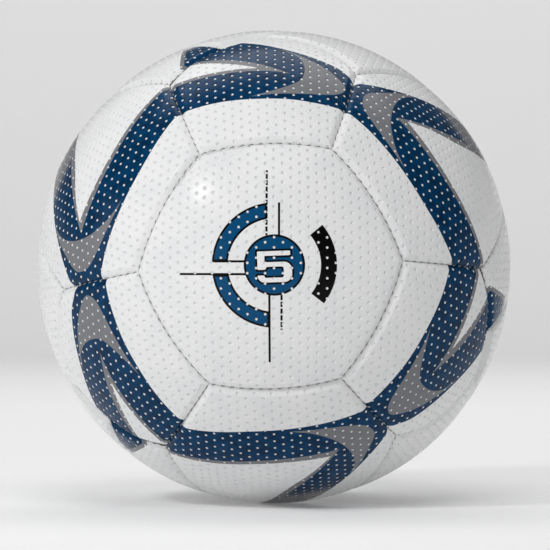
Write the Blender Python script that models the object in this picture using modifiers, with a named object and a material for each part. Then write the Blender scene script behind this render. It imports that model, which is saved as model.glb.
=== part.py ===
"""Size 5 football: a hand-stitched cover of twenty panels over backing cloth, a bladder and a valve.

The origin is the ball's centre. The front hexagon faces -Y, the valve is in the middle of the rear
hexagon at +Y, and the ball rests on a small flat sole at -Z. Lengths are metres, angles are degrees.
Every layer is a scaled copy of one faceted sphere, so the layers nest with even gaps.
"""
import math

import bmesh
import bpy
from mathutils import Matrix, Vector

# Ball and its layers, from the outside in.
BALL_RADIUS = 0.110
COVER_THICKNESS = 0.0022
BACKING_THICKNESS = 0.0012
BLADDER_THICKNESS = 0.0012
LAYER_GAP = 0.0004
SPHERE_SUBDIVISIONS = 4
ICOSAHEDRON_EDGE_ANGLE = 63.43
SHORTEST_EDGE = 0.0016
MERGE_DISTANCE = 0.00002

# Seams: the gap between two panels, and the groove that the panels' rolled edges form over it.
SEAM_GAP = 0.0003
GROOVE_HALF_WIDTH = 0.0026
GROOVE_DEPTH = 0.0017

# Waxed thread, lying in the groove, with its centre this far above the groove's bottom.
THREAD_RADIUS = 0.0004
THREAD_RISE = 0.0011
THREAD_STEP = 8.0

# Flat that the ball's own weight presses into its lowest point.
SOLE_DEPTH = 0.0005
SOLE_PANEL = "front_wide_3"

# Valve: a rubber housing with a flange inside the bladder, and a plug with a needle hole.
VALVE_RECESS = 0.0003
VALVE_CLEARANCE = 0.0003
HOUSING_RADIUS = 0.0036
HOUSING_LENGTH = 0.0150
FLANGE_RADIUS = 0.0090
FLANGE_THICKNESS = 0.0012
PLUG_RADIUS = 0.0021
PLUG_LENGTH = 0.0130
PLUG_RECESS = 0.0002
NEEDLE_HOLE_RADIUS = 0.0009
NEEDLE_HOLE_DEPTH = 0.0090
ROUND_STEPS = 24

# Corners of the front half's panels: angle from the -Y axis, and azimuth round it from +X towards +Z.
# Each repeats at every third of a turn, and the hexagon's corners at every sixth.
HEX_CORNER = (32.65, 2.4)
PLAIN_CORNER = (60.8, 66.3)
STRIPE_CORNER = (60.8, 119.4)
PLAIN_TIP = (74.0, 92.9)
STRIPE_TIP = (70.1, 103.1)

# A half turn about this azimuth, square to Y, brings the front half onto the rear half.
HALF_TURN_AZIMUTH = 65.4

# How far each kind of seam bows out from a straight one, in degrees at its middle.
HEX_BOW = 0.9
NARROW_SIDE_BOW = 3.5
NARROW_END_BOW = 0.3
NARROW_FLANK_BOW = 0.8
WIDE_SIDE_BOW = 0.0
WIDE_FLANK_BOW = 0.0

# Radii of the layers' faces, worked out from the values above.
COVER_INNER_RADIUS = BALL_RADIUS - COVER_THICKNESS
BACKING_OUTER_RADIUS = COVER_INNER_RADIUS - LAYER_GAP
BACKING_INNER_RADIUS = BACKING_OUTER_RADIUS - BACKING_THICKNESS
BLADDER_OUTER_RADIUS = BACKING_INNER_RADIUS - LAYER_GAP
BLADDER_INNER_RADIUS = BLADDER_OUTER_RADIUS - BLADDER_THICKNESS


# Scene and materials

def clear_scene():
    for item in list(bpy.data.objects):
        bpy.data.objects.remove(item, do_unlink=True)


def new_collection(name):
    collection = bpy.data.collections.new(name)
    bpy.context.scene.collection.children.link(collection)
    return collection


def new_material(name, color, roughness, metallic=0.0):
    material = bpy.data.materials.new(name)
    material.use_nodes = True
    shader = material.node_tree.nodes["Principled BSDF"]
    shader.inputs["Base Color"].default_value = (*color, 1.0)
    shader.inputs["Roughness"].default_value = roughness
    shader.inputs["Metallic"].default_value = metallic
    return material


def new_object(name, bm, material, collection):
    mesh = bpy.data.meshes.new(name)
    bm.to_mesh(mesh)
    bm.free()
    mesh.materials.append(material)
    item = bpy.data.objects.new(name, mesh)
    collection.objects.link(item)
    return item


# Directions and seams

def direction(polar, azimuth):
    """Unit vector at an angle from -Y, turned by the azimuth from +X towards +Z."""
    p = math.radians(polar)
    a = math.radians(azimuth)
    return Vector((math.sin(p) * math.cos(a), -math.cos(p), math.sin(p) * math.sin(a)))


def corner(place, turn):
    return direction(place[0], place[1] + turn)


def rear(point):
    """The rear half's copy of a point: a half turn about an axis square to Y."""
    axis = direction(90.0, HALF_TURN_AZIMUTH)
    return 2.0 * point.dot(axis) * axis - point


def rear_corner(place, turn):
    return rear(corner(place, -turn))


def bowed_middle(start, end, bow, centre):
    """Middle of a seam, moved along the sphere away from a panel's centre by the bow's angle."""
    middle = (start + end).normalized()
    outward = start.cross(end).normalized()
    if outward.dot(centre) > 0.0:
        outward = -outward
    angle = math.radians(bow)
    return middle * math.cos(angle) + outward * math.sin(angle)


def outline_centre(outline):
    total = Vector((0.0, 0.0, 0.0))
    for point, bow in outline:
        total += point
    return total.normalized()


def seams_of(outline):
    """Each side of a panel as its two ends and its bowed middle."""
    centre = outline_centre(outline)
    seams = []
    for index, (start, bow) in enumerate(outline):
        end = outline[(index + 1) % len(outline)][0]
        seams.append((start, bowed_middle(start, end, bow, centre), end))
    return seams


def seam_circles(outline):
    """Each seam's circle on the sphere: its outward axis, and its latitude about that axis."""
    centre = outline_centre(outline)
    circles = []
    for start, middle, end in seams_of(outline):
        axis = (middle - start).cross(end - start).normalized()
        if axis.dot(centre - start) > 0.0:
            axis = -axis
        circles.append((axis, math.asin(axis.dot(start))))
    return circles


def inset_plane_point(axis, latitude, distance):
    """Point of the plane that cuts the sphere this far inside a seam, along the surface."""
    return axis * BALL_RADIUS * math.sin(latitude - distance / BALL_RADIUS)


def seam_distance(point, circles):
    """Distance along the sphere from a point to the nearest seam."""
    place = point.normalized()
    return BALL_RADIUS * min(latitude - math.asin(axis.dot(place)) for axis, latitude in circles)


# Panel outlines: lists of (corner, bow of the side that starts there)

def hexagon_outline():
    return [(corner(HEX_CORNER, 60.0 * step), HEX_BOW) for step in range(6)]


def narrow_outline(turn):
    return [
        (corner(HEX_CORNER, turn + 120.0), -HEX_BOW),
        (corner(HEX_CORNER, turn + 60.0), 0.0),
        (corner(PLAIN_CORNER, turn), NARROW_SIDE_BOW),
        (corner(PLAIN_TIP, turn), NARROW_END_BOW),
        (corner(STRIPE_TIP, turn), NARROW_FLANK_BOW),
        (corner(STRIPE_CORNER, turn), 0.0),
    ]


def wide_outline(turn):
    return [
        (corner(HEX_CORNER, turn + 60.0), -HEX_BOW),
        (corner(HEX_CORNER, turn), 0.0),
        (corner(STRIPE_CORNER, turn - 120.0), WIDE_FLANK_BOW),
        (rear_corner(STRIPE_TIP, turn), -NARROW_END_BOW),
        (rear_corner(PLAIN_TIP, turn), WIDE_SIDE_BOW),
        (corner(PLAIN_CORNER, turn), 0.0),
    ]


def plain_belt_outline(turn):
    return [
        (corner(PLAIN_CORNER, turn), -NARROW_SIDE_BOW),
        (corner(PLAIN_TIP, turn), -WIDE_SIDE_BOW),
        (rear_corner(PLAIN_CORNER, turn), -NARROW_SIDE_BOW),
        (rear_corner(PLAIN_TIP, turn), -WIDE_SIDE_BOW),
    ]


def striped_belt_outline(turn):
    return [
        (corner(STRIPE_CORNER, turn), -NARROW_FLANK_BOW),
        (corner(STRIPE_TIP, turn), -WIDE_FLANK_BOW),
        (rear_corner(STRIPE_CORNER, turn + 120.0), -NARROW_FLANK_BOW),
        (rear_corner(STRIPE_TIP, turn + 120.0), -WIDE_FLANK_BOW),
    ]


def rear_outline(outline):
    return [(rear(point), bow) for point, bow in outline]


def panel_outlines():
    """Every panel's name and outline, front to rear."""
    outlines = {"front_hexagon": hexagon_outline(), "rear_hexagon": rear_outline(hexagon_outline())}
    for number in range(3):
        turn = 120.0 * number
        label = str(number + 1)
        outlines["front_narrow_" + label] = narrow_outline(turn)
        outlines["front_wide_" + label] = wide_outline(turn)
        outlines["rear_narrow_" + label] = rear_outline(narrow_outline(turn))
        outlines["rear_wide_" + label] = rear_outline(wide_outline(turn))
        outlines["belt_plain_" + label] = plain_belt_outline(turn)
        outlines["belt_striped_" + label] = striped_belt_outline(turn)
    return outlines


# Panels

def cut(bm, point, normal, clear_outer):
    geometry = bm.verts[:] + bm.edges[:] + bm.faces[:]
    return bmesh.ops.bisect_plane(
        bm, geom=geometry, dist=1e-6, plane_co=point, plane_no=normal, clear_outer=clear_outer)


def keep_island(bm, centre):
    """Keeps only the faces that are linked to the one nearest to a panel's centre."""
    first = min(bm.faces, key=lambda face: (face.calc_center_median().normalized() - centre).length)
    island = {first}
    pending = [first]
    while pending:
        face = pending.pop()
        linked = [other for edge in face.edges for other in edge.link_faces if other not in island]
        island.update(linked)
        pending.extend(linked)
    strays = [face for face in bm.faces if face not in island]
    bmesh.ops.delete(bm, geom=strays, context="FACES")


def panel_mesh(outline, outer_radius, inner_radius, groove_depth):
    """Shell panel between two radii, with its outer edge sloped down into the seams' groove."""
    bm = bmesh.new()
    bmesh.ops.create_icosphere(bm, subdivisions=SPHERE_SUBDIVISIONS, radius=BALL_RADIUS)
    circles = seam_circles(outline)
    for axis, latitude in circles:
        cut(bm, inset_plane_point(axis, latitude, SEAM_GAP / 2.0), axis, True)
        if groove_depth > 0.0:
            cut(bm, inset_plane_point(axis, latitude, GROOVE_HALF_WIDTH), axis, False)
    keep_island(bm, outline_centre(outline))
    bmesh.ops.triangulate(bm, faces=bm.faces[:])
    bmesh.ops.dissolve_degenerate(bm, edges=bm.edges[:], dist=SHORTEST_EDGE)
    bmesh.ops.triangulate(bm, faces=bm.faces[:])
    inner_verts = bm.verts[:]
    extruded = bmesh.ops.extrude_face_region(bm, geom=bm.faces[:])
    outer_verts = [item for item in extruded["geom"] if isinstance(item, bmesh.types.BMVert)]
    slope_width = GROOVE_HALF_WIDTH - SEAM_GAP / 2.0
    for vert in outer_verts:
        share = (GROOVE_HALF_WIDTH - seam_distance(vert.co, circles)) / slope_width
        drop = groove_depth * min(max(share, 0.0), 1.0)
        vert.co *= (outer_radius - drop) / BALL_RADIUS
    for vert in inner_verts:
        vert.co *= inner_radius / BALL_RADIUS
    bmesh.ops.triangulate(bm, faces=bm.faces[:])
    bmesh.ops.recalc_face_normals(bm, faces=bm.faces[:])
    return bm


def flatten_sole(bm):
    """Cuts the lowest point off flat and closes the cut."""
    level = Vector((0.0, 0.0, -(BALL_RADIUS - SOLE_DEPTH)))
    result = cut(bm, level, Vector((0.0, 0.0, -1.0)), True)
    edges = [item for item in result["geom_cut"] if isinstance(item, bmesh.types.BMEdge)]
    bmesh.ops.holes_fill(bm, edges=edges, sides=0)
    bmesh.ops.triangulate(bm, faces=bm.faces[:])


# Valve hole

def valve_hole_cutter(name, radius, collection):
    """Cylinder along +Y that reaches from inside the bladder to outside the cover."""
    depth = HOUSING_LENGTH * 2.0
    bpy.ops.mesh.primitive_cylinder_add(
        vertices=ROUND_STEPS, radius=radius, depth=depth,
        location=(0.0, BALL_RADIUS, 0.0), rotation=(math.radians(-90.0), 0.0, 0.0))
    cutter = bpy.context.object
    cutter.name = name
    cutter.hide_render = True
    cutter.display_type = "WIRE"
    for owner in list(cutter.users_collection):
        owner.objects.unlink(cutter)
    collection.objects.link(cutter)
    return cutter


def add_cut(item, cutter):
    modifier = item.modifiers.new("valve_hole", "BOOLEAN")
    modifier.operation = "DIFFERENCE"
    modifier.solver = "EXACT"
    modifier.object = cutter


# Bladder

def bladder_mesh():
    bm = bmesh.new()
    bmesh.ops.create_icosphere(
        bm, subdivisions=SPHERE_SUBDIVISIONS, radius=BLADDER_INNER_RADIUS)
    bmesh.ops.reverse_faces(bm, faces=bm.faces[:])
    bmesh.ops.create_icosphere(
        bm, subdivisions=SPHERE_SUBDIVISIONS, radius=BLADDER_OUTER_RADIUS)
    return bm


# Turned valve pieces: a profile at +X, turned about Z, then laid along +Y

def turned_object(name, profile, closed, material, collection):
    bm = bmesh.new()
    verts = [bm.verts.new((radius, 0.0, height)) for radius, height in profile]
    for first, second in zip(verts, verts[1:]):
        bm.edges.new((first, second))
    if closed:
        bm.edges.new((verts[-1], verts[0]))
    item = new_object(name, bm, material, collection)
    screw = item.modifiers.new("turn", "SCREW")
    screw.axis = "Z"
    screw.angle = math.tau
    screw.steps = ROUND_STEPS
    screw.render_steps = ROUND_STEPS
    screw.use_merge_vertices = True
    screw.merge_threshold = 0.00001
    item.rotation_euler = (math.radians(-90.0), 0.0, 0.0)
    return item


def flange_top():
    """Height of the flange: clear under the bladder's facets at the flange's rim."""
    facet_angle = math.radians(ICOSAHEDRON_EDGE_ANGLE / 2 ** (SPHERE_SUBDIVISIONS - 1))
    lowest_facet = BLADDER_INNER_RADIUS * math.cos(facet_angle / math.sqrt(3.0))
    return math.sqrt(lowest_facet ** 2 - FLANGE_RADIUS ** 2) - VALVE_CLEARANCE


def housing_profile():
    bore = PLUG_RADIUS + VALVE_CLEARANCE
    top = BALL_RADIUS - VALVE_RECESS
    bottom = BALL_RADIUS - HOUSING_LENGTH
    shoulder = flange_top()
    return [
        (bore, top),
        (HOUSING_RADIUS, top),
        (HOUSING_RADIUS, shoulder),
        (FLANGE_RADIUS, shoulder),
        (FLANGE_RADIUS, shoulder - FLANGE_THICKNESS),
        (HOUSING_RADIUS, shoulder - FLANGE_THICKNESS),
        (HOUSING_RADIUS, bottom),
        (bore, bottom),
    ]


def plug_profile():
    top = BALL_RADIUS - VALVE_RECESS - PLUG_RECESS
    return [
        (0.0, top - NEEDLE_HOLE_DEPTH),
        (NEEDLE_HOLE_RADIUS, top - NEEDLE_HOLE_DEPTH),
        (NEEDLE_HOLE_RADIUS, top),
        (PLUG_RADIUS, top),
        (PLUG_RADIUS, top - PLUG_LENGTH),
        (0.0, top - PLUG_LENGTH),
    ]


# Thread

def arc_points(start, middle, end):
    """Points of the circle through three points of the unit sphere, from start to just before end."""
    normal = (middle - start).cross(end - start).normalized()
    centre = normal * start.dot(normal)
    spoke = start - centre
    across = normal.cross(spoke)
    reach = end - centre
    angle = math.atan2(reach.dot(across), reach.dot(spoke)) % math.tau
    count = math.ceil(math.degrees(angle) * spoke.length / THREAD_STEP)
    points = []
    for index in range(count):
        turn = angle * index / count
        points.append(centre + spoke * math.cos(turn) + across * math.sin(turn))
    return points


def thread_mesh(outlines):
    """Network of seams: a face for every panel, of which only a narrow rim is kept and made thick."""
    bm = bmesh.new()
    centre_radius = BALL_RADIUS - GROOVE_DEPTH + THREAD_RISE
    for outline in outlines:
        points = []
        for start, middle, end in seams_of(outline):
            points.extend(arc_points(start, middle, end))
        bm.faces.new([bm.verts.new(point * centre_radius) for point in points])
    bmesh.ops.remove_doubles(bm, verts=bm.verts[:], dist=MERGE_DISTANCE)
    bmesh.ops.recalc_face_normals(bm, faces=bm.faces[:])
    panels = bm.faces[:]
    bmesh.ops.inset_individual(bm, faces=panels, thickness=THREAD_RADIUS, use_even_offset=True)
    bmesh.ops.delete(bm, geom=panels, context="FACES_ONLY")
    inner_verts = bm.verts[:]
    extruded = bmesh.ops.extrude_face_region(bm, geom=bm.faces[:])
    outer_verts = [item for item in extruded["geom"] if isinstance(item, bmesh.types.BMVert)]
    for vert in inner_verts:
        vert.co = vert.co.normalized() * (centre_radius - THREAD_RADIUS)
    for vert in outer_verts:
        vert.co = vert.co.normalized() * (centre_radius + THREAD_RADIUS)
    bmesh.ops.triangulate(bm, faces=bm.faces[:])
    bmesh.ops.recalc_face_normals(bm, faces=bm.faces[:])
    return bm


# Build

def build():
    clear_scene()
    ball = new_collection("football")
    cutters = new_collection("cutters")
    hole_radius = HOUSING_RADIUS + VALVE_CLEARANCE
    hole = valve_hole_cutter("valve_hole_cutter", hole_radius, cutters)

    outlines = panel_outlines()
    for name, outline in outlines.items():
        cover_material = new_material("cover_" + name, (0.80, 0.82, 0.83), 0.35)
        cover_bm = panel_mesh(outline, BALL_RADIUS, COVER_INNER_RADIUS, GROOVE_DEPTH)
        if name == SOLE_PANEL:
            flatten_sole(cover_bm)
        cover = new_object("cover_" + name, cover_bm, cover_material, ball)
        backing_material = new_material("backing_" + name, (0.72, 0.68, 0.58), 0.9)
        backing_bm = panel_mesh(outline, BACKING_OUTER_RADIUS, BACKING_INNER_RADIUS, 0.0)
        backing = new_object("backing_" + name, backing_bm, backing_material, ball)
        if name == "rear_hexagon":
            add_cut(cover, hole)
            add_cut(backing, hole)

    bladder = new_object("bladder", bladder_mesh(), new_material("bladder", (0.02, 0.02, 0.02), 0.6), ball)
    add_cut(bladder, hole)

    rubber = new_material("valve_housing", (0.70, 0.70, 0.68), 0.6)
    turned_object("valve_housing", housing_profile(), True, rubber, ball)
    plug_rubber = new_material("valve_plug", (0.10, 0.10, 0.10), 0.6)
    turned_object("valve_plug", plug_profile(), False, plug_rubber, ball)

    waxed_thread = new_material("stitching_thread", (0.75, 0.74, 0.70), 0.7)
    new_object("stitching_thread", thread_mesh(outlines.values()), waxed_thread, ball)


build()
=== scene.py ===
import math

import bmesh
import bpy
import numpy as np
from mathutils import Matrix, Vector


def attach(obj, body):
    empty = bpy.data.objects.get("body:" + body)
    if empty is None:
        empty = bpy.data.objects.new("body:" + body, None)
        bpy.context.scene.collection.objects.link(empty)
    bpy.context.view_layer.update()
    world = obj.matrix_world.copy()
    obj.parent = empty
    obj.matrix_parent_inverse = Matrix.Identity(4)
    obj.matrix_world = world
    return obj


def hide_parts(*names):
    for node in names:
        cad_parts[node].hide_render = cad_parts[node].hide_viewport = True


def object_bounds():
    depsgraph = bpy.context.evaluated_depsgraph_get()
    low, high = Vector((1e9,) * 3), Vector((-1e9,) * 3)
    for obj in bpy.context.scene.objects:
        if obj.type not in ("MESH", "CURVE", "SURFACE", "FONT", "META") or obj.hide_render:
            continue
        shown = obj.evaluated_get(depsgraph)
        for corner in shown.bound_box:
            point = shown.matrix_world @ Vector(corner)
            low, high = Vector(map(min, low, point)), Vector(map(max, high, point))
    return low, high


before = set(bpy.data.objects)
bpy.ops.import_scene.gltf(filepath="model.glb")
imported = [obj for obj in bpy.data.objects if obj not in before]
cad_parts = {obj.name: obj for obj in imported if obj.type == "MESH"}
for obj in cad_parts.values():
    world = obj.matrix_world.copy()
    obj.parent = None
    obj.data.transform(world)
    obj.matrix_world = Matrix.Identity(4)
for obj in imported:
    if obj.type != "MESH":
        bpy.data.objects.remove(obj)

cad_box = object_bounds()

# ---------------------------------------------------------------------------------------------
# Cover panels: twenty pieces of dimpled polyurethane skin, 2.2 mm thick with its foam. Each is cut
# flat, printed, turned in at its edges and hand stitched to its neighbours from the inside, so the
# edges roll down into the seams and the air inside puffs each panel up a little between them.

MM = 0.001
BALL_RADIUS = 110.0 * MM
SEAM_GAP = 0.08 * MM
SOLE_DEPTH = 0.5 * MM

# Corners of the panels: angle from the -Y axis, and azimuth from +X towards +Z, in degrees.
# Plain and stripe name the two kinds of belt panel that a corner or tip belongs to.
HEX_CORNER = (32.65, 2.4)
PLAIN_CORNER = (60.8, 66.3)
STRIPE_CORNER = (60.8, 119.4)
PLAIN_TIP = (74.0, 92.9)
STRIPE_TIP = (70.1, 103.1)
HALF_TURN_AZIMUTH = 65.4

# How far each kind of seam bows out from a straight one, in degrees at its middle.
HEX_BOW = 0.9
NARROW_SIDE_BOW = 3.5
NARROW_END_BOW = 0.3
NARROW_FLANK_BOW = 0.8


def direction(polar, azimuth):
    """Unit vector at an angle from the front of the ball, in degrees."""
    polar, azimuth = math.radians(polar), math.radians(azimuth)
    across = math.sin(polar)
    return Vector((across * math.cos(azimuth), -math.cos(polar), across * math.sin(azimuth)))


def half_turn():
    """Rotation that brings the front half of the ball onto the rear half."""
    return Matrix.Rotation(math.pi, 3, direction(90.0, HALF_TURN_AZIMUTH))


def third_turn(number):
    """Rotation about the front-to-back axis by a number of thirds of a turn."""
    return Matrix.Rotation(math.radians(-120.0 * number), 3, "Y")


def front(place, turn=0.0):
    return direction(place[0], place[1] + turn)


def rear(place, turn=0.0):
    return half_turn() @ direction(place[0], place[1] - turn)


# The five panel shapes, as corners with the bow of the side that starts at each.
HEXAGON = [(front(HEX_CORNER, 60.0 * step), HEX_BOW) for step in range(6)]
NARROW = [
    (front(HEX_CORNER, 120.0), -HEX_BOW),
    (front(HEX_CORNER, 60.0), 0.0),
    (front(PLAIN_CORNER), NARROW_SIDE_BOW),
    (front(PLAIN_TIP), NARROW_END_BOW),
    (front(STRIPE_TIP), NARROW_FLANK_BOW),
    (front(STRIPE_CORNER), 0.0),
]
WIDE = [
    (front(HEX_CORNER, 60.0), -HEX_BOW),
    (front(HEX_CORNER), 0.0),
    (front(STRIPE_CORNER, -120.0), 0.0),
    (rear(STRIPE_TIP), -NARROW_END_BOW),
    (rear(PLAIN_TIP), 0.0),
    (front(PLAIN_CORNER), 0.0),
]
PLAIN_BELT = [
    (front(PLAIN_CORNER), -NARROW_SIDE_BOW),
    (front(PLAIN_TIP), 0.0),
    (rear(PLAIN_CORNER), -NARROW_SIDE_BOW),
    (rear(PLAIN_TIP), 0.0),
]
STRIPED_BELT = [
    (front(STRIPE_CORNER), -NARROW_FLANK_BOW),
    (front(STRIPE_TIP), 0.0),
    (rear(STRIPE_CORNER, 120.0), -NARROW_FLANK_BOW),
    (rear(STRIPE_TIP, 120.0), 0.0),
]


def outline_centre(outline):
    return sum((point for point, bow in outline), Vector()).normalized()


def seams_of(outline):
    """Each side of a panel as its two ends and the middle of its bowed arc, on the unit sphere."""
    centre = outline_centre(outline)
    seams = []
    for index, (start, bow) in enumerate(outline):
        end = outline[(index + 1) % len(outline)][0]
        outward = start.cross(end).normalized()
        if outward.dot(centre) > 0.0:
            outward = -outward
        angle = math.radians(bow)
        middle = (start + end).normalized() * math.cos(angle) + outward * math.sin(angle)
        seams.append((start, middle, end))
    return seams


def seam_circles(outline):
    """Each side's circle on the sphere: the axis that points out of the panel, and its latitude."""
    centre = outline_centre(outline)
    circles = []
    for start, middle, end in seams_of(outline):
        axis = (middle - start).cross(end - start).normalized()
        if axis.dot(centre - start) > 0.0:
            axis = -axis
        circles.append((axis, math.asin(axis.dot(start))))
    return circles


# A panel's skin is a net of small equilateral triangles, wrapped on the sphere from the panel's
# middle. Nine net edges make one step of the embossed dimples, so every dimple sits on net points.
DIMPLE_STEP = 4.5 * MM
DIMPLE_COLUMN = DIMPLE_STEP * math.sqrt(3.0) / 2.0
DIMPLE_RADIUS = 0.95 * MM
DIMPLE_DEPTH = 0.32 * MM
DIMPLE_POWER = 1.5
NET_EDGE = DIMPLE_STEP / 9.0
NET_COLUMN = NET_EDGE * math.sqrt(3.0) / 2.0
NET_MARGIN = 6.0 * MM
CUT_TOLERANCE = 0.03 * MM

# The edge rolls down to the seam and ends in a side wall. Two rows of points keep it crisp, and the
# dimples fade out on it.
ROLL_WIDTH = 3.3 * MM
ROLL_POWER = 1.7
ROLL_DEPTH = 1.85 * MM
WALL_DEPTH = 2.5 * MM
RIM_STEPS = (0.35 * MM, 0.8 * MM)
DIMPLE_MARGIN = 0.45 * MM
DIMPLE_FADE = 1.5 * MM

# Air puffs the panel's middle up, and each stitch pulls a small pucker into its edge.
PUFF_HEIGHT = 0.45 * MM
PUFF_REACH = 14.0 * MM
STITCH_STEP = 4.2 * MM
PUCKER_HEIGHT = 0.05 * MM
PUCKER_REACH = 1.6 * MM


def flat_axes(centre):
    """Right and up on a panel laid flat: up runs away from the front of the ball."""
    pole = Vector((0.0, -1.0, 0.0))
    up = centre * pole.dot(centre) - pole
    if up.length < 0.01:
        up = Vector((0.0, 0.0, 1.0))
    up.normalize()
    return up.cross(centre).normalized(), up


def wrap_flat(flat, centre):
    """Points of a flat sheet, in metres from its middle, laid on the sphere."""
    right, up = flat_axes(centre)
    reach = np.hypot(flat[:, 0], flat[:, 1])
    angle = reach / BALL_RADIUS
    share = np.sin(angle) / np.maximum(reach, 1e-9)
    return (
        np.cos(angle)[:, None] * np.array(centre)
        + (share * flat[:, 0])[:, None] * np.array(right)
        + (share * flat[:, 1])[:, None] * np.array(up)
    ) * BALL_RADIUS


def lay_flat(places, centre):
    """The flat sheet's coordinates of unit directions: the reverse of wrap_flat."""
    right, up = flat_axes(centre)
    x = places @ np.array(right)
    y = places @ np.array(up)
    z = np.clip(places @ np.array(centre), -1.0, 1.0)
    share = np.arccos(z) * BALL_RADIUS / np.maximum(np.hypot(x, y), 1e-9)
    return np.stack([x * share, y * share], axis=1)


def coordinates(mesh):
    values = np.empty(len(mesh.vertices) * 3, np.float32)
    mesh.vertices.foreach_get("co", values)
    return values.reshape(-1, 3).astype(float)


def set_coordinates(mesh, values):
    mesh.vertices.foreach_set("co", values.astype(np.float32).ravel())
    mesh.update()


def dimple_distance(flat):
    """Distance from flat points to the nearest dimple's middle."""
    nearest = np.full(len(flat), 1.0)
    for shift_x, shift_y in ((0.0, 0.0), (DIMPLE_COLUMN, DIMPLE_STEP / 2.0)):
        x = (flat[:, 0] + shift_x + DIMPLE_COLUMN) % (2.0 * DIMPLE_COLUMN) - DIMPLE_COLUMN
        y = (flat[:, 1] + shift_y + DIMPLE_STEP / 2.0) % DIMPLE_STEP - DIMPLE_STEP / 2.0
        nearest = np.minimum(nearest, np.hypot(x, y))
    return nearest


def seam_reach(places, circles):
    """Distance to the nearest seam, and how far along that seam."""
    nearest = np.full(len(places), 1.0)
    along = np.zeros(len(places))
    for axis, latitude in circles:
        across = BALL_RADIUS * (latitude - np.arcsin(np.clip(places @ np.array(axis), -1.0, 1.0)))
        side = axis.orthogonal().normalized()
        turn = np.arctan2(places @ np.array(axis.cross(side)), places @ np.array(side))
        run = turn * BALL_RADIUS * math.cos(latitude)
        along = np.where(across < nearest, run, along)
        nearest = np.minimum(nearest, across)
    return nearest, along


def net_bmesh(outline, centre):
    """A net of triangles over the panel, cut to its outline on the sphere."""
    corners = np.array([point for point, bow in outline])
    reach = np.abs(lay_flat(corners, centre)).max(axis=0) + NET_MARGIN
    columns = 2 * math.ceil(reach[0] / NET_COLUMN)
    slant = 0.5 * NET_EDGE / NET_COLUMN
    rows = 2 * math.ceil((reach[1] + slant * reach[0]) / NET_EDGE)
    place = Matrix((
        (columns * NET_COLUMN / 2.0, 0.0, 0.0, 0.0),
        (slant * columns * NET_COLUMN / 2.0, rows * NET_EDGE / 2.0, 0.0, 0.0),
        (0.0, 0.0, 1.0, 0.0),
        (0.0, 0.0, 0.0, 1.0),
    ))
    bm = bmesh.new()
    bmesh.ops.create_grid(bm, x_segments=columns, y_segments=rows, size=1.0, matrix=place)
    bmesh.ops.triangulate(bm, faces=bm.faces[:], quad_method="SHORT_EDGE")
    spare = [vert for vert in bm.verts if abs(vert.co.y) > reach[1]]
    bmesh.ops.delete(bm, geom=spare, context="VERTS")
    mesh = bpy.data.meshes.new("net")
    bm.to_mesh(mesh)
    set_coordinates(mesh, wrap_flat(coordinates(mesh)[:, :2], centre))
    bm.clear()
    bm.from_mesh(mesh)
    bpy.data.meshes.remove(mesh)
    for axis, latitude in seam_circles(outline):
        for inset in (SEAM_GAP / 2.0,) + RIM_STEPS:
            level = BALL_RADIUS * math.sin(latitude - inset / BALL_RADIUS)
            bmesh.ops.bisect_plane(
                bm, geom=bm.verts[:] + bm.edges[:] + bm.faces[:], dist=CUT_TOLERANCE,
                plane_co=axis * level, plane_no=axis, clear_outer=inset < RIM_STEPS[0])
    return bm


def cut_past_corners(bm, outline):
    """Clears what a bowed side leaves standing beyond a corner."""
    centre = outline_centre(outline)
    for point, bow in outline:
        outward = (point - centre * point.dot(centre)).normalized()
        bmesh.ops.bisect_plane(
            bm, geom=bm.verts[:] + bm.edges[:] + bm.faces[:], dist=CUT_TOLERANCE,
            plane_co=point * BALL_RADIUS, plane_no=outward, clear_outer=True)


def panel_skin(name, outline, centre, dimple_shift=(0.0, 0.0)):
    """The skin of one panel: its net, its rolled edges, its dimples and its side walls."""
    bm = net_bmesh(outline, centre)
    if len(outline) == 4:
        cut_past_corners(bm, outline)
    bmesh.ops.triangulate(bm, faces=bm.faces[:])
    skin_count = len(bm.verts)
    rim = [edge for edge in bm.edges if edge.is_boundary]
    bmesh.ops.extrude_edge_only(bm, edges=rim)
    for face in bm.faces:
        face.smooth = True
    mesh = bpy.data.meshes.new(name)
    bm.to_mesh(mesh)
    bm.free()
    places = coordinates(mesh)
    places /= np.linalg.norm(places, axis=1)[:, None]
    flat = lay_flat(places, centre)
    nearest, along = seam_reach(places, seam_circles(outline))
    roll = np.clip(1.0 - nearest / ROLL_WIDTH, 0.0, 1.0)
    drop = ROLL_DEPTH * roll ** ROLL_POWER
    puff = PUFF_HEIGHT * (1.0 - np.exp(-nearest / PUFF_REACH)) - PUFF_HEIGHT
    pucker = PUCKER_HEIGHT * np.cos(along * math.tau / STITCH_STEP) * np.exp(-nearest / PUCKER_REACH)
    off_middle = dimple_distance(flat - np.array(dimple_shift)) / DIMPLE_RADIUS
    dent = DIMPLE_DEPTH * np.clip(1.0 - off_middle ** 2, 0.0, 1.0) ** DIMPLE_POWER
    dent *= np.clip((nearest - DIMPLE_MARGIN) / DIMPLE_FADE, 0.0, 1.0)
    radius = BALL_RADIUS + puff - drop + pucker - dent
    radius[skin_count:] = BALL_RADIUS - WALL_DEPTH
    set_coordinates(mesh, places * radius[:, None])
    corner_verts = np.empty(len(mesh.loops), np.int32)
    mesh.loops.foreach_get("vertex_index", corner_verts)
    sheet = mesh.uv_layers.new(name="sheet")
    sheet.data.foreach_set("uv", (flat[corner_verts] / MM).astype(np.float32).ravel())
    return mesh, places


# ---------------------------------------------------------------------------------------------
# Print on the cover panels: bands of blue with grey edges, screen printed on each flat panel before
# it is cut. Their outlines are in millimetres from the panel's middle, and each point of a skin
# holds how deep inside each ink it lies. The ink doesn't reach into the dimples, which stay white.

NO_INK = -9.0


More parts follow.
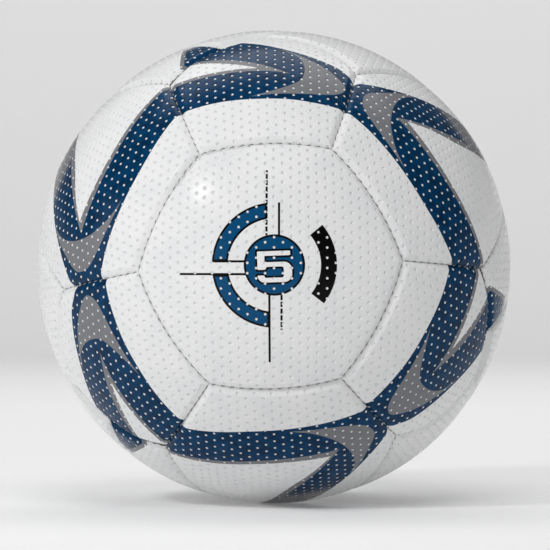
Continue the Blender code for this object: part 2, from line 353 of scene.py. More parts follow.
def smooth_run(points, steps=6):
    """A smooth line through a few points, as a Catmull-Rom curve."""
    points = np.array(points, float)
    ends = np.concatenate([[2 * points[0] - points[1]], points, [2 * points[-1] - points[-2]]])
    line = []
    for index in range(len(points) - 1):
        a, b, c, d = ends[index:index + 4]
        for t in np.arange(steps) / steps:
            line.append(0.5 * (
                2 * b + (c - a) * t + (2 * a - 5 * b + 4 * c - d) * t ** 2
                + (3 * b - a - 3 * c + d) * t ** 3))
    line.append(points[-1])
    return line


def closed_outline(*runs):
    """One closed shape from smooth runs that meet at sharp corners."""
    shape = []
    for run in runs:
        shape.extend(smooth_run(run))
    return np.array(shape)


def depth_inside(flat, shape):
    """How far inside a closed shape each flat point is, in mm, and negative outside it."""
    nearest = np.full(len(flat), 1e9)
    inside = np.zeros(len(flat), bool)
    x, y = flat[:, 0], flat[:, 1]
    for (ax, ay), (bx, by) in zip(shape, np.roll(shape, -1, axis=0)):
        dx, dy = bx - ax, by - ay
        length = dx * dx + dy * dy
        if length < 1e-9:
            continue
        t = np.clip(((x - ax) * dx + (y - ay) * dy) / length, 0.0, 1.0)
        nearest = np.minimum(nearest, (x - ax - t * dx) ** 2 + (y - ay - t * dy) ** 2)
        if dy != 0.0:
            crosses = ((ay > y) != (by > y)) & (x < dx * (y - ay) / dy + ax)
            inside ^= crosses
    depth = np.sqrt(nearest)
    return np.where(inside, depth, -depth)


def add_field(mesh, name, values):
    """One number for each point of a mesh, which its material reads by name."""
    field = mesh.attributes.get(name) or mesh.attributes.new(name, "FLOAT", "POINT")
    field.data.foreach_set("value", values.astype(np.float32))


# Narrow panel: a V of two bands that opens to the left, with a grey drop at its point.
NARROW_MIDDLE = direction(52.0, 92.85)
NARROW_FOOT = [
    (-50, -16), (-23, -16.2), (-5.3, -17.4), (8.9, -18.2), (19.6, -19.3), (32.2, -20.8), (50, -23.6)]
NARROW_CREST = [
    (50, -3.5), (40.3, 2.1), (33.6, 8.8), (21, 15.8), (8.4, 22.4), (-2.8, 29.3), (-12.6, 35.0),
    (-17.5, 37.5)]
NARROW_FORK = (12.3, -0.8)
NARROW_UPPER_BLUE = [(-36.5, 22.4), (-30.8, 21), (-18.9, 16.1), (-5.6, 9.8), (7, 2.1), NARROW_FORK]
NARROW_LOWER_BLUE = [NARROW_FORK, (7, 0.7), (-3.5, 2.2), (-18.9, 3.4), (-37.8, 4.3), (-50, 3.4)]
NARROW_NOTCH = (-2.8, 4.3)
NARROW_UPPER_GREY = [(-38.5, 20.3), (-30.8, 18.6), (-18.2, 12.3), (-10.5, 8.4), NARROW_NOTCH]
NARROW_LOWER_GREY = [NARROW_NOTCH, (-11.9, 5.3), (-18.9, 5.7), (-29.4, 6.4), (-50, 7.0)]
NARROW_DROP_OUTER = [
    (-8.4, -15.8), (1.9, -14.9), (16.1, -14.4), (26.6, -13.3), (32.2, -11.6), (35.4, -8.6), (36.2, -5.2),
    (33.3, 0), (26.6, 7.7), (18.9, 13.7), (11.2, 19.6), (6.3, 23.1)]
NARROW_DROP_INNER = [
    (6.3, 23.1), (11.2, 18.6), (14.7, 15.4), (17.4, 9), (17.7, 1.4), (15.1, -5.6), (7, -10.9),
    (-2.8, -14.4), (-8.4, -15.8)]
# The upper band crosses the short seam onto the striped belt and fades to white there.
NARROW_CLEAR = (38.0, 60.0)
BELT_WEAR = 0.5

narrow_blue = closed_outline(
    NARROW_FOOT, NARROW_CREST, [(-17.5, 60), (-36, 60)], NARROW_UPPER_BLUE, NARROW_LOWER_BLUE)
narrow_grey = closed_outline(
    NARROW_FOOT, NARROW_CREST, [(-17.5, 60), (-38.5, 60)], NARROW_UPPER_GREY, NARROW_LOWER_GREY)
narrow_drop = closed_outline(NARROW_DROP_OUTER, NARROW_DROP_INNER)

# Wide panel: the same V, opening to the right, with one arm that fades out towards the belt.
WIDE_MIDDLE = direction(56.0, 32.85)
WIDE_FOOT = [
    (-60, -31.5), (-35, -30.2), (-5.2, -30.3), (13.5, -29.8), (28.8, -27.8), (40.7, -26.2), (60, -24.6)]
WIDE_FORK = (-26, -10.5)
WIDE_ARM_BLUE = [
    (60, -4.8), (45.8, -4.8), (28.8, -7.3), (13.5, -9.4), (2.8, -10.3), (-7.8, -10.6), WIDE_FORK]
WIDE_RISE_BLUE = [WIDE_FORK, (-18, 0.1), (-9.5, 11.2), (-1, 23.9), (6.7, 38.9), (12, 56), (14, 72)]
WIDE_NOTCH = (-21.8, -6.8)
WIDE_ARM_GREY = [(60, -2.4), (48.3, -2.4), (33, -4.3), (16, -6.7), (6.7, -7.4), (-4.4, -7.6), WIDE_NOTCH]
WIDE_RISE_GREY = [WIDE_NOTCH, (-13.7, 2.7), (-1.8, 16.3), (6.7, 31.6), (13.2, 46), (18, 60), (20, 72)]
WIDE_CREST = [
    (-4, 72), (-6.1, 53), (-13.7, 38.4), (-22.2, 25.6), (-35, 8.6), (-44.3, -2.4), (-50.3, -9.2),
    (-60, -18)]
WIDE_DROP_OUTER = [
    (-1.8, -29), (-16.3, -27.5), (-28.2, -25.4), (-37.5, -22), (-41.9, -17), (-42.9, -11), (-38.4, -0.7),
    (-34.6, 7.5), (-29.2, 16.3)]
WIDE_DROP_INNER = [
    (-29.2, 16.3), (-32, 7), (-32, -0.7), (-29.5, -9.5), (-23.9, -18.1), (-15.4, -24.9), (-8, -27.7),
    (-1.8, -29)]
# The rising arm turns grey over the first stretch, and white over the second.
WIDE_WORN = (20.0, 42.0)
WIDE_CLEAR = (46.0, 66.0)

wide_blue = closed_outline(WIDE_FOOT, WIDE_ARM_BLUE, WIDE_RISE_BLUE, WIDE_CREST)
wide_grey = closed_outline(WIDE_FOOT, WIDE_ARM_GREY, WIDE_RISE_GREY, WIDE_CREST)
wide_drop = closed_outline(WIDE_DROP_OUTER, WIDE_DROP_INNER)


def fade(values, start, end):
    """A smooth rise from 0 at the start to 1 at the end."""
    share = np.clip((values - start) / (end - start), 0.0, 1.0)
    return share * share * (3.0 - 2.0 * share)


def in_register(flat, register):
    """Flat points seen from a print that sits a little off its place, as it does on a cut panel."""
    right, up, turn = register
    cosine, sine = math.cos(math.radians(turn)), math.sin(math.radians(turn))
    x = flat[:, 0] - right
    y = flat[:, 1] - up
    return np.stack([x * cosine + y * sine, y * cosine - x * sine], axis=1)


def print_narrow(mesh, places, register):
    flat = in_register(lay_flat(places, NARROW_MIDDLE) / MM, register)
    add_field(mesh, "blue", depth_inside(flat, narrow_blue))
    add_field(mesh, "grey", depth_inside(flat, narrow_grey))
    add_field(mesh, "drop", depth_inside(flat, narrow_drop))
    add_field(mesh, "worn", np.zeros(len(flat)))
    add_field(mesh, "clear", np.zeros(len(flat)))


def print_wide(mesh, places, register):
    flat = in_register(lay_flat(places, WIDE_MIDDLE) / MM, register)
    add_field(mesh, "blue", depth_inside(flat, wide_blue))
    add_field(mesh, "grey", depth_inside(flat, wide_grey))
    add_field(mesh, "drop", depth_inside(flat, wide_drop))
    add_field(mesh, "worn", fade(flat[:, 1], *WIDE_WORN))
    add_field(mesh, "clear", fade(flat[:, 1], *WIDE_CLEAR))


def print_striped_belt(mesh, places, register):
    """The end of the narrow panel's upper band runs over each short seam and fades out."""
    turned = Matrix.Rotation(math.pi, 3, direction(90.0, HALF_TURN_AZIMUTH + 60.0))
    fields = {"blue": [], "grey": [], "clear": []}
    for spot in (places, places @ np.array(turned.transposed())):
        flat = in_register(lay_flat(spot, NARROW_MIDDLE) / MM, register)
        fields["blue"].append(depth_inside(flat, narrow_blue))
        fields["grey"].append(depth_inside(flat, narrow_grey))
        fields["clear"].append(fade(flat[:, 1], *NARROW_CLEAR))
    near = fields["grey"][0] > fields["grey"][1]
    for name, (first, second) in fields.items():
        add_field(mesh, name, np.where(near, first, second))
    add_field(mesh, "drop", np.full(len(places), NO_INK))
    add_field(mesh, "worn", fields["clear"][0] * BELT_WEAR)


def print_none(mesh, places, register):
    for name in ("blue", "grey", "drop"):
        add_field(mesh, name, np.full(len(places), NO_INK))
    for name in ("worn", "clear"):
        add_field(mesh, name, np.zeros(len(places)))


# Front hexagon: a size roundel. A plain block numeral in a blue disc, with arcs and guide lines.
ROUNDEL_MIDDLE = (2.1, 0.5)
NUMERAL_TURN = 2.0


def quarter(x, y, radius, start):
    """Points of a quarter round, going clockwise from an angle in degrees."""
    turns = np.radians(np.linspace(start, start - 90.0, 7))
    return [(x + radius * math.cos(turn), y + radius * math.sin(turn)) for turn in turns]


def numeral_shape():
    """A block numeral 5, in mm: one outline round its post, its bars and its bowl."""
    outline = [(-7.4, 6.1), (7.0, 6.1), (7.0, 4.1), (-4.3, 4.1), (-4.3, 1.3)]
    outline += quarter(4.2, -2.1, 3.4, 90.0) + quarter(4.2, -4.1, 3.4, 0.0)
    outline += quarter(-4.4, -4.4, 3.1, 270.0)
    outline += [(-4.6, -4.4), (-4.2, -5.5), (3.4, -5.5), (4.0, -4.9), (4.0, -1.3), (3.4, -0.7)]
    outline += [(-3.4, -0.7), (-4.1, -1.9), (-7.4, -1.9)]
    cosine, sine = math.cos(math.radians(NUMERAL_TURN)), math.sin(math.radians(NUMERAL_TURN))
    return np.array(outline) @ np.array([[cosine, sine], [-sine, cosine]])


def print_roundel(mesh, places):
    flat = lay_flat(places, direction(0.0, 0.0)) / MM - np.array(ROUNDEL_MIDDLE)
    add_field(mesh, "numeral", depth_inside(flat, numeral_shape()))


# Materials of the cover: calendered, embossed and printed polyurethane. It gives the eye a glossy
# white with a fine grain, ink that lies a little unevenly on it, and a white spot at every dimple.

def linear(code):
    """An sRGB hex colour as linear values."""
    parts = [int(code[start:start + 2], 16) / 255.0 for start in (1, 3, 5)]
    shades = [part / 12.92 if part <= 0.04045 else ((part + 0.055) / 1.055) ** 2.4 for part in parts]
    return (*shades, 1.0)


def add_node(material, kind, links=None, out=None, **settings):
    """Adds a node with its settings and its inputs, and gives the node, or one output of it."""
    node = material.node_tree.nodes.new("ShaderNode" + kind)
    for key, value in settings.items():
        setattr(node, key, value)
    for key, value in (links or {}).items():
        if isinstance(value, bpy.types.NodeSocket):
            material.node_tree.links.new(value, node.inputs[key])
        else:
            node.inputs[key].default_value = value
    return node if out is None else node.outputs[out]


def new_finish(name, color, roughness, **extra):
    """A Principled material with constants on its own sockets."""
    material = bpy.data.materials.new(name)
    material.use_nodes = True
    shader = material.node_tree.nodes["Principled BSDF"]
    shader.inputs["Base Color"].default_value = linear(color)
    shader.inputs["Roughness"].default_value = roughness
    for key, value in extra.items():
        shader.inputs[key.replace("_", " ")].default_value = value
    return material, shader


COVER_WHITE = "#EEEEEE"
COVER_SHADE = "#E8E9EA"
INK_BLUE = "#00395F"
INK_BLUE_DEEP = "#002948"
INK_GREY = "#7C7D81"
INK_BLACK = "#060606"
ROUNDEL_BLUE = "#0A4A75"
SMOOTH = "SMOOTHSTEP"

# Sizes in mm: the white spot at each dimple, the soft edge of the ink, and the halftone screen's
# rows, drawn about twice as coarse as a real screen so that the fade shows its dots.
SPOT_RADIUS = 0.56
SPOT_EDGE = 0.08
INK_EDGE = 0.10
SCREEN_COLUMN = 0.52
SCREEN_STEP = 0.6
# Where the skin turns down into a dimple, from its middle, in mm.
PRESS_FOOT = 0.2
PRESS_LIP = 0.85
# Sizes of the patterns in mm: patches of thicker ink, uneven whiteness, leather-like grain, drawn a
# few times coarser than the real 0.1 mm so that it shows, and the cloudy gloss of the calender.
INK_PATCH = 6.25
TINT_PATCH = 20.0
GRAIN_STEP = 0.4545
GLOSS_PATCH = 1.4286
# How the halftone works: dots grow out of the screen with the fade, over an even tone that hides
# part of the ink.
SCREEN_SLOPE = 1.6
DOT_GROWTH = 1.35
DOT_EDGE = 0.3
WORN_TONE = 0.8
CLEAR_TONE = 0.9


def lattice_nodes(material, place, column, step, shift=(0.0, 0.0)):
    """Distance to the nearest point of a triangular lattice, in mm."""
    lengths = []
    for dx, dy in ((0.0, 0.0), (column, step / 2.0)):
        moved = add_node(
            material, "VectorMath", {0: place, 1: (dx - shift[0], dy - shift[1], 0.0)}, out=0,
            operation="ADD")
        cell = add_node(
            material, "VectorMath",
            {0: moved, 1: (column, step / 2.0, 1.0), 2: (-column, -step / 2.0, -1.0)}, out=0,
            operation="WRAP")
        lengths.append(add_node(material, "VectorMath", {0: cell}, out=1, operation="LENGTH"))
    return add_node(material, "Math", {0: lengths[0], 1: lengths[1]}, out=0, operation="MINIMUM")


def faded_share(material, amount, screen, tone):
    """How far ink has given way: halftone dots that grow with the amount, over an even tone."""
    grown = add_node(material, "Math", {0: amount, 1: DOT_GROWTH}, out=0, operation="MULTIPLY")
    level = add_node(material, "Math", {0: grown, 1: screen}, out=0, operation="SUBTRACT")
    dots = add_node(
        material, "MapRange", {0: level, 1: 0.0, 2: DOT_EDGE}, out=0, interpolation_type=SMOOTH)
    even = add_node(material, "Math", {0: amount, 1: tone}, out=0, operation="MULTIPLY")
    return add_node(material, "Math", {0: dots, 1: even}, out=0, operation="MAXIMUM")


def cover_material(name, dimple_shift=(0.0, 0.0), roundel=False):
    """The cover's finish: skin, inks in their order of printing, grain and pressed dimples."""
    material, shader = new_finish(name, COVER_WHITE, 0.20, Specular_IOR_Level=0.1)
    sheet = add_node(material, "UVMap", out=0, uv_map="sheet")
    middle = lattice_nodes(
        material, sheet, DIMPLE_COLUMN / MM, DIMPLE_STEP / MM,
        (dimple_shift[0] / MM, dimple_shift[1] / MM))
    fields = {
        key: add_node(material, "Attribute", out="Fac", attribute_name=key)
        for key in ("blue", "grey", "drop", "worn", "clear")
    }
    screen = lattice_nodes(material, sheet, SCREEN_COLUMN, SCREEN_STEP)
    screen = add_node(material, "Math", {0: screen, 1: SCREEN_SLOPE}, out=0, operation="MULTIPLY")
    shares = {
        "worn": faded_share(material, fields["worn"], screen, WORN_TONE),
        "clear": faded_share(material, fields["clear"], screen, CLEAR_TONE),
    }
    for key in ("grey", "blue", "drop"):
        shares[key] = add_node(
            material, "MapRange", {0: fields[key], 1: -INK_EDGE, 2: INK_EDGE}, out=0,
            interpolation_type=SMOOTH)
    shares["spot"] = add_node(
        material, "MapRange", {0: middle, 1: SPOT_RADIUS + SPOT_EDGE, 2: SPOT_RADIUS - SPOT_EDGE}, out=0,
        interpolation_type=SMOOTH)
    clouds = {}
    for key, patch, detail, low, high in (
        ("ink", INK_PATCH, 3.0, 0.35, 0.7), ("white", TINT_PATCH, 2.0, 0.3, 0.7),
    ):
        noise = add_node(
            material, "TexNoise", {"Vector": sheet, "Scale": 1.0 / patch, "Detail": detail}, out=0)
        clouds[key] = add_node(
            material, "MapRange", {0: noise, 1: low, 2: high}, out=0, interpolation_type=SMOOTH)
    blue = add_node(
        material, "Mix", {0: clouds["ink"], 6: linear(INK_BLUE), 7: linear(INK_BLUE_DEEP)}, out=2,
        data_type="RGBA")
    white = add_node(
        material, "Mix", {0: clouds["white"], 6: linear(COVER_WHITE), 7: linear(COVER_SHADE)}, out=2,
        data_type="RGBA")
    blue = add_node(
        material, "Mix", {0: shares["worn"], 6: blue, 7: linear(INK_GREY)}, out=2, data_type="RGBA")
    color = white
    for key, ink in (
        ("grey", linear(INK_GREY)), ("blue", blue), ("drop", linear(INK_GREY)), ("clear", white),
    ):
        color = add_node(material, "Mix", {0: shares[key], 6: color, 7: ink}, out=2, data_type="RGBA")
    if roundel:
        color = roundel_nodes(material, sheet, color)
    color = add_node(material, "Mix", {0: shares["spot"], 6: color, 7: white}, out=2, data_type="RGBA")
    material.node_tree.links.new(color, shader.inputs["Base Color"])

    grain = add_node(
        material, "TexVoronoi", {"Vector": sheet, "Scale": 1.0 / GRAIN_STEP}, out=0, feature="SMOOTH_F1")
    gloss = add_node(
        material, "TexNoise", {"Vector": sheet, "Scale": 1.0 / GLOSS_PATCH, "Detail": 4.0}, out=0)
    grain = add_node(material, "Math", {0: grain, 1: 0.25}, out=0, operation="MULTIPLY")
    height = add_node(material, "Math", {0: grain, 1: gloss}, out=0, operation="ADD")
    bump = add_node(material, "Bump", {"Strength": 0.02, "Distance": 0.1 * MM, "Height": height}, out=0)
    wall = add_node(
        material, "MapRange", {0: middle, 1: PRESS_FOOT, 2: PRESS_LIP}, out=0, interpolation_type=SMOOTH)
    press = add_node(
        material, "Bump", {"Strength": 0.85, "Distance": 0.4 * MM, "Height": wall, "Normal": bump}, out=0)
    material.node_tree.links.new(press, shader.inputs["Normal"])
    gloss = add_node(material, "MapRange", {0: gloss, 1: 0.3, 2: 0.7}, out=0, interpolation_type=SMOOTH)
    roughness = add_node(material, "MapRange", {0: gloss, 3: 0.18, 4: 0.22}, out=0)
    material.node_tree.links.new(roughness, shader.inputs["Roughness"])
    return material


# The roundel's parts, in mm from its middle: a disc with the numeral, two blue arcs on the left with a
# black line round each, a black segment on the right, and guide lines, some of them dashed.
DISC_RADIUS = 13.4
DISC_LINE = 0.95
ARC_RADII = (20.4, 27.6)
ARC_LINE = 0.95
ARC_EDGE = 0.12
# Each arc shows in a window across and up, and the blue in a smaller window that leaves the line.
ARC_WINDOWS = (((-40.0, -3.3), (1.6, 40.0)), ((-40.0, -2.2), (-40.0, -4.2)))
ARC_INNER_WINDOWS = (((-40.0, -4.2), (2.5, 40.0)), ((-40.0, -3.1), (-40.0, -5.1)))
SEGMENT_TURN = (-0.66, 0.70)
SEGMENT_TURN_EDGE = 0.005
GUIDE_HALF_WIDTH = 0.5
GUIDE_EDGE = 0.08
GUIDE_END_EDGE = 0.1
# Upright guides: place across, lower and upper end, and if dashed. Level ones: place up, both ends.
UPRIGHT_GUIDES = (
    (-3.5, 13.0, 42.6, True), (2.0, 13.0, 27.6, False),
    (-2.2, -43.6, -13.0, False), (3.1, -28.6, -13.0, True),
)
LEVEL_GUIDES = ((1.6, -27.4, -12.6), (-4.0, -42.5, -12.6))
DASH_STEP = 2.992
DASH_GAP = (-0.9, -0.7)
DISC_EDGE = 0.1
NUMERAL_BORDER = 0.875
NUMERAL_BORDER_EDGE = 0.075
NUMERAL_EDGE = 0.08


def window(material, *bounds):
    """1 inside all of the bounds and 0 outside. A bound is a value, its ends and its soft edge."""
    mask = 1.0
    for value, low, high, edge in bounds:
        for start, end in ((low - edge, low + edge), (high + edge, high - edge)):
            side = add_node(
                material, "MapRange", {0: value, 1: start, 2: end}, out=0, interpolation_type=SMOOTH)
            mask = add_node(material, "Math", {0: side, 1: mask}, out=0, operation="MULTIPLY")
    return mask


def roundel_nodes(material, sheet, color):
    """The roundel's parts laid over the cover's colour, each on top of the ones before it."""
    moved = add_node(
        material, "VectorMath", {0: sheet, 1: (-ROUNDEL_MIDDLE[0], -ROUNDEL_MIDDLE[1], 0.0)}, out=0,
        operation="ADD")
    parts = add_node(material, "SeparateXYZ", {0: moved})
    x, y = parts.outputs[0], parts.outputs[1]
    reach = add_node(material, "VectorMath", {0: moved}, out=1, operation="LENGTH")
    turn = add_node(material, "Math", {0: y, 1: x}, out=0, operation="ARCTAN2")
    numeral = add_node(material, "Attribute", out="Fac", attribute_name="numeral")
    blue, black, white = linear(ROUNDEL_BLUE), linear(INK_BLACK), linear(COVER_WHITE)
    inner_radii = (ARC_RADII[0] + ARC_LINE, ARC_RADII[1] - ARC_LINE)

    layers = []
    for outer, inner in zip(ARC_WINDOWS, ARC_INNER_WINDOWS):
        for (span_x, span_y), radii, ink in ((outer, ARC_RADII, black), (inner, inner_radii, blue)):
            layers.append((window(
                material, (x, *span_x, ARC_EDGE), (y, *span_y, ARC_EDGE), (reach, *radii, ARC_EDGE)), ink))
    segment = window(
        material, (turn, *SEGMENT_TURN, SEGMENT_TURN_EDGE), (reach, *ARC_RADII, ARC_EDGE))
    layers.append((segment, black))
    wave = add_node(material, "Math", {0: y, 1: math.tau / DASH_STEP}, out=0, operation="MULTIPLY")
    wave = add_node(material, "Math", {0: wave}, out=0, operation="SINE")
    dashes = add_node(
        material, "MapRange", {0: wave, 1: DASH_GAP[0], 2: DASH_GAP[1]}, out=0, interpolation_type=SMOOTH)
    for middle, low, high, dashed in UPRIGHT_GUIDES:
        line = window(
            material, (x, middle - GUIDE_HALF_WIDTH, middle + GUIDE_HALF_WIDTH, GUIDE_EDGE),
            (y, low, high, GUIDE_END_EDGE))
        if dashed:
            line = add_node(material, "Math", {0: line, 1: dashes}, out=0, operation="MULTIPLY")
        layers.append((line, black))
    for middle, low, high in LEVEL_GUIDES:
        line = window(
            material, (y, middle - GUIDE_HALF_WIDTH, middle + GUIDE_HALF_WIDTH, GUIDE_EDGE),
            (x, low, high, GUIDE_END_EDGE))
        layers.append((line, black))
    inner_disc = DISC_RADIUS - DISC_LINE
    for value, start, end, ink in (
        (reach, DISC_RADIUS + DISC_EDGE, DISC_RADIUS - DISC_EDGE, black),
        (reach, inner_disc + DISC_EDGE, inner_disc - DISC_EDGE, blue),
        (numeral, -NUMERAL_BORDER - NUMERAL_BORDER_EDGE, -NUMERAL_BORDER + NUMERAL_BORDER_EDGE, black),
        (numeral, -NUMERAL_EDGE, NUMERAL_EDGE, white),
    ):
        layers.append((add_node(
            material, "MapRange", {0: value, 1: start, 2: end}, out=0, interpolation_type=SMOOTH), ink))
    for share, ink in layers:
        color = add_node(material, "Mix", {0: share, 6: color, 7: ink}, out=2, data_type="RGBA")
    return color


# Where each copy's print sits: right and up in mm, and turned in degrees. The emboss of each shape
# has its own place too, because the sheet is rolled before the panels are cut.
TRUE = (0.0, 0.0, 0.0)
NARROW_REGISTERS = [(1.5, -0.5, 1.0), (-1.5, -1.5, -2.0), (-1.0, -1.0, -1.0)]
WIDE_REGISTERS = [(0.0, 1.5, 1.0), TRUE, (-1.0, 2.0, 2.0)]

HEXAGON_DIMPLES = (1.9 * MM, -0.8 * MM)
NARROW_DIMPLES = (-1.7 * MM, -2.1 * MM)
WIDE_DIMPLES = (-1.6 * MM, -0.9 * MM)

panels = {}


def add_panel(name, mesh, material):
    """A finished skin that stands for its CAD cover panel."""
    mesh.materials.clear()
    mesh.materials.append(material)
    panel = bpy.data.objects.new("skin_" + name, mesh)
    bpy.context.scene.collection.objects.link(panel)
    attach(panel, "root")
    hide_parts("cover_" + name)
    panels[name] = panel


def turned_copy(mesh, turn, name):
    """A copy of a panel's mesh, turned about the ball's centre."""
    copy = mesh.copy()
    copy.name = name
    copy.transform(turn.to_4x4())
    return copy


def add_family(shape, names, outline, centre, print_panel, dimples, registers):
    """Three copies of a panel shape round the front half and, given a second name, round the rear."""
    mesh, places = panel_skin(shape, outline, centre, dimples)
    material = cover_material("printed_pu_" + shape, dimples)
    for number, register in enumerate(registers):
        print_panel(mesh, places, register)
        turns = (third_turn(number), half_turn() @ third_turn(number))
        for name, turn in zip(names, turns):
            label = name + "_" + str(number + 1)
            add_panel(label, turned_copy(mesh, turn, label), material)
    bpy.data.meshes.remove(mesh)


add_family(
    "narrow", ("front_narrow", "rear_narrow"), NARROW, NARROW_MIDDLE, print_narrow, NARROW_DIMPLES,
    NARROW_REGISTERS)
add_family(
    "wide", ("front_wide", "rear_wide"), WIDE, WIDE_MIDDLE, print_wide, WIDE_DIMPLES, WIDE_REGISTERS)
add_family(
    "plain_belt", ("belt_plain",), PLAIN_BELT, outline_centre(PLAIN_BELT), print_none, (0.0, 0.0),
    [TRUE] * 3)
add_family(
    "striped_belt", ("belt_striped",), STRIPED_BELT, outline_centre(STRIPED_BELT), print_striped_belt,
    (0.0, 0.0), [TRUE] * 3)

hexagon, hexagon_places = panel_skin("hexagon", HEXAGON, direction(0.0, 0.0), HEXAGON_DIMPLES)
print_none(hexagon, hexagon_places, TRUE)
print_roundel(hexagon, hexagon_places)
add_panel("front_hexagon", turned_copy(hexagon, Matrix.Identity(3), "front_hexagon"),
          cover_material("printed_pu_roundel", HEXAGON_DIMPLES, roundel=True))

# The rear hexagon has a round hole for the valve, whose edge is turned in like the seams.
VALVE_HOLE_RADIUS = 3.9 * MM
VALVE_HOLE_SPARE = 0.2 * MM
VALVE_LIP_DEPTH = 0.59 * MM
rear_mesh = turned_copy(hexagon, half_turn(), "rear_hexagon")
bpy.data.meshes.remove(hexagon)


def from_axis(vert):
    """Distance of a point from the valve's axis."""
    return math.hypot(vert.co.x, vert.co.z)


bm = bmesh.new()
bm.from_mesh(rear_mesh)
inside = [vert for vert in bm.verts if from_axis(vert) < VALVE_HOLE_RADIUS - VALVE_HOLE_SPARE]
bmesh.ops.delete(bm, geom=inside, context="VERTS")
lip = [
    edge for edge in bm.edges
    if edge.is_boundary and all(from_axis(vert) < 2.0 * VALVE_HOLE_RADIUS for vert in edge.verts)
]
walls = bmesh.ops.extrude_edge_only(bm, edges=lip)
lip_verts = {vert for edge in lip for vert in edge.verts}
wall_verts = [item for item in walls["geom"] if isinstance(item, bmesh.types.BMVert)]
for verts, depth in ((lip_verts, VALVE_LIP_DEPTH), (wall_verts, WALL_DEPTH)):
    for vert in verts:
        spread = VALVE_HOLE_RADIUS / from_axis(vert)
        vert.co = (vert.co.x * spread, BALL_RADIUS - depth, vert.co.z * spread)
bm.to_mesh(rear_mesh)
bm.free()
add_panel("rear_hexagon", rear_mesh, cover_material("plain_pu_rear", HEXAGON_DIMPLES))

# The ball's weight presses a small flat where it rests.
sole_mesh = panels["front_wide_3"].data
sole_points = coordinates(sole_mesh)
sole_points[:, 2] = np.maximum(sole_points[:, 2], -(BALL_RADIUS - SOLE_DEPTH))
set_coordinates(sole_mesh, sole_points)

# ---------------------------------------------------------------------------------------------
# Stitching: waxed polyester thread, worked by hand with two needles. Only the short slanting
# passes between one hole and the next show, deep in the seams.

THREAD_RADIUS = 0.30 * MM
THREAD_END_SHARE = 0.55
THREAD_DEPTH = 2.4 * MM
STITCH_LENGTH = 3.0 * MM
STITCH_SLANT = 0.35
STITCH_ARCH = 0.25 * MM
stitches = bmesh.new()


def arc_frames(start, middle, end, spacing):
    """Places along a seam's arc, each with the directions along and across it."""
    normal = (middle - start).cross(end - start).normalized()
    centre = normal * start.dot(normal)
    spoke = start - centre
    across = normal.cross(spoke)
    reach = end - centre
    angle = math.atan2(reach.dot(across), reach.dot(spoke)) % math.tau
    count = max(2, round(angle * spoke.length * BALL_RADIUS / spacing))
    frames = []
    for index in range(count):
        turn = angle * (index + 0.5) / count
        place = centre + spoke * math.cos(turn) + across * math.sin(turn)
        along = (across * math.cos(turn) - spoke * math.sin(turn)).normalized()
        frames.append((place.normalized(), along, place.cross(along).normalized()))
    return frames


def add_stitch(place, along, side):
    """One pass of thread: a short rod, thinner at its ends, where it sinks into its holes."""
    heading = (along + side * STITCH_SLANT).normalized()
    cross = place.cross(heading).normalized()
    middle = place * (BALL_RADIUS - THREAD_DEPTH)
    pose = Matrix((cross, place, heading)).transposed().to_4x4()
    pose.translation = middle
    end_radius = THREAD_RADIUS * THREAD_END_SHARE
    rod = bmesh.ops.create_cone(
        stitches, cap_ends=True, segments=8, radius1=end_radius, radius2=end_radius,
        depth=STITCH_LENGTH, matrix=pose)
    sides = dict.fromkeys(edge for vert in rod["verts"] for edge in vert.link_edges)
    long_edges = [edge for edge in sides if edge.calc_length() > STITCH_LENGTH * 0.9]
    cut = bmesh.ops.subdivide_edges(stitches, edges=long_edges, cuts=3)
    for vert in [item for item in cut["geom_inner"] if isinstance(item, bmesh.types.BMVert)]:
        offset = vert.co - middle
        run = offset.dot(heading)
        vert.co += (offset - heading * run) * (1.0 / THREAD_END_SHARE - 1.0)
        vert.co += place * STITCH_ARCH * (1.0 - (2.0 * run / STITCH_LENGTH) ** 2)


outlines = []
for number in range(3):
    for shape, turns in (
        (NARROW, (third_turn(number), half_turn() @ third_turn(number))),
        (WIDE, (third_turn(number), half_turn() @ third_turn(number))),
        (PLAIN_BELT, (third_turn(number),)),
        (STRIPED_BELT, (third_turn(number),)),
    ):
        outlines += [[(turn @ point, bow) for point, bow in shape] for turn in turns]
sewn = set()
for outline in outlines:
    for start, middle, end in seams_of(outline):
        key = tuple(round(value, 3) for value in middle)
        if key not in sewn:
            sewn.add(key)
            for place, along, side in arc_frames(start, middle, end, STITCH_STEP):
                add_stitch(place, along, side)
for face in stitches.faces:
    face.smooth = True
stitch_mesh = bpy.data.meshes.new("stitching")
stitches.to_mesh(stitch_mesh)
stitches.free()
stitching = bpy.data.objects.new("stitching", stitch_mesh)
bpy.context.scene.collection.objects.link(stitching)

# Waxed polyester thread: an off-white painted down to grey as painted shade for the seams it lies deep in,
# darker and lighter along its twist, with a low wax shine.
# The twist is drawn at about its real step. A wave repeats every tau / (20 * scale).
TWIST_STEP = 0.349 * MM
# The thread's grey is painted shade: the real thread is off-white, and it lies deep in the shaded seams.
thread_finish, thread_shader = new_finish("waxed_polyester_thread", "#8E8C84", 0.6)
thread_place = add_node(thread_finish, "TexCoord", out="Object")
twist = add_node(
    thread_finish, "TexWave",
    {"Vector": thread_place, "Scale": math.tau / (20.0 * TWIST_STEP), "Distortion": 2.0}, out=1)
thread_painted_shade_color = add_node(
    thread_finish, "Mix", {0: twist, 6: linear("#6F6D67"), 7: linear("#A8A59C")}, out=2,
    data_type="RGBA")
thread_finish.node_tree.links.new(thread_painted_shade_color, thread_shader.inputs["Base Color"])
twist_bump = add_node(
    thread_finish, "Bump", {"Strength": 0.5, "Distance": 0.1 * MM, "Height": twist}, out=0)
thread_finish.node_tree.links.new(twist_bump, thread_shader.inputs["Normal"])
stitch_mesh.materials.append(thread_finish)
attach(stitching, "root")
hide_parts("stitching_thread")

# ---------------------------------------------------------------------------------------------
# Backing cloth: plies of cotton and polyester, glued behind each panel before it is cut, to keep the
# cover from stretching. Woven, matt and cream. The CAD shape is right, so it only gets its material.


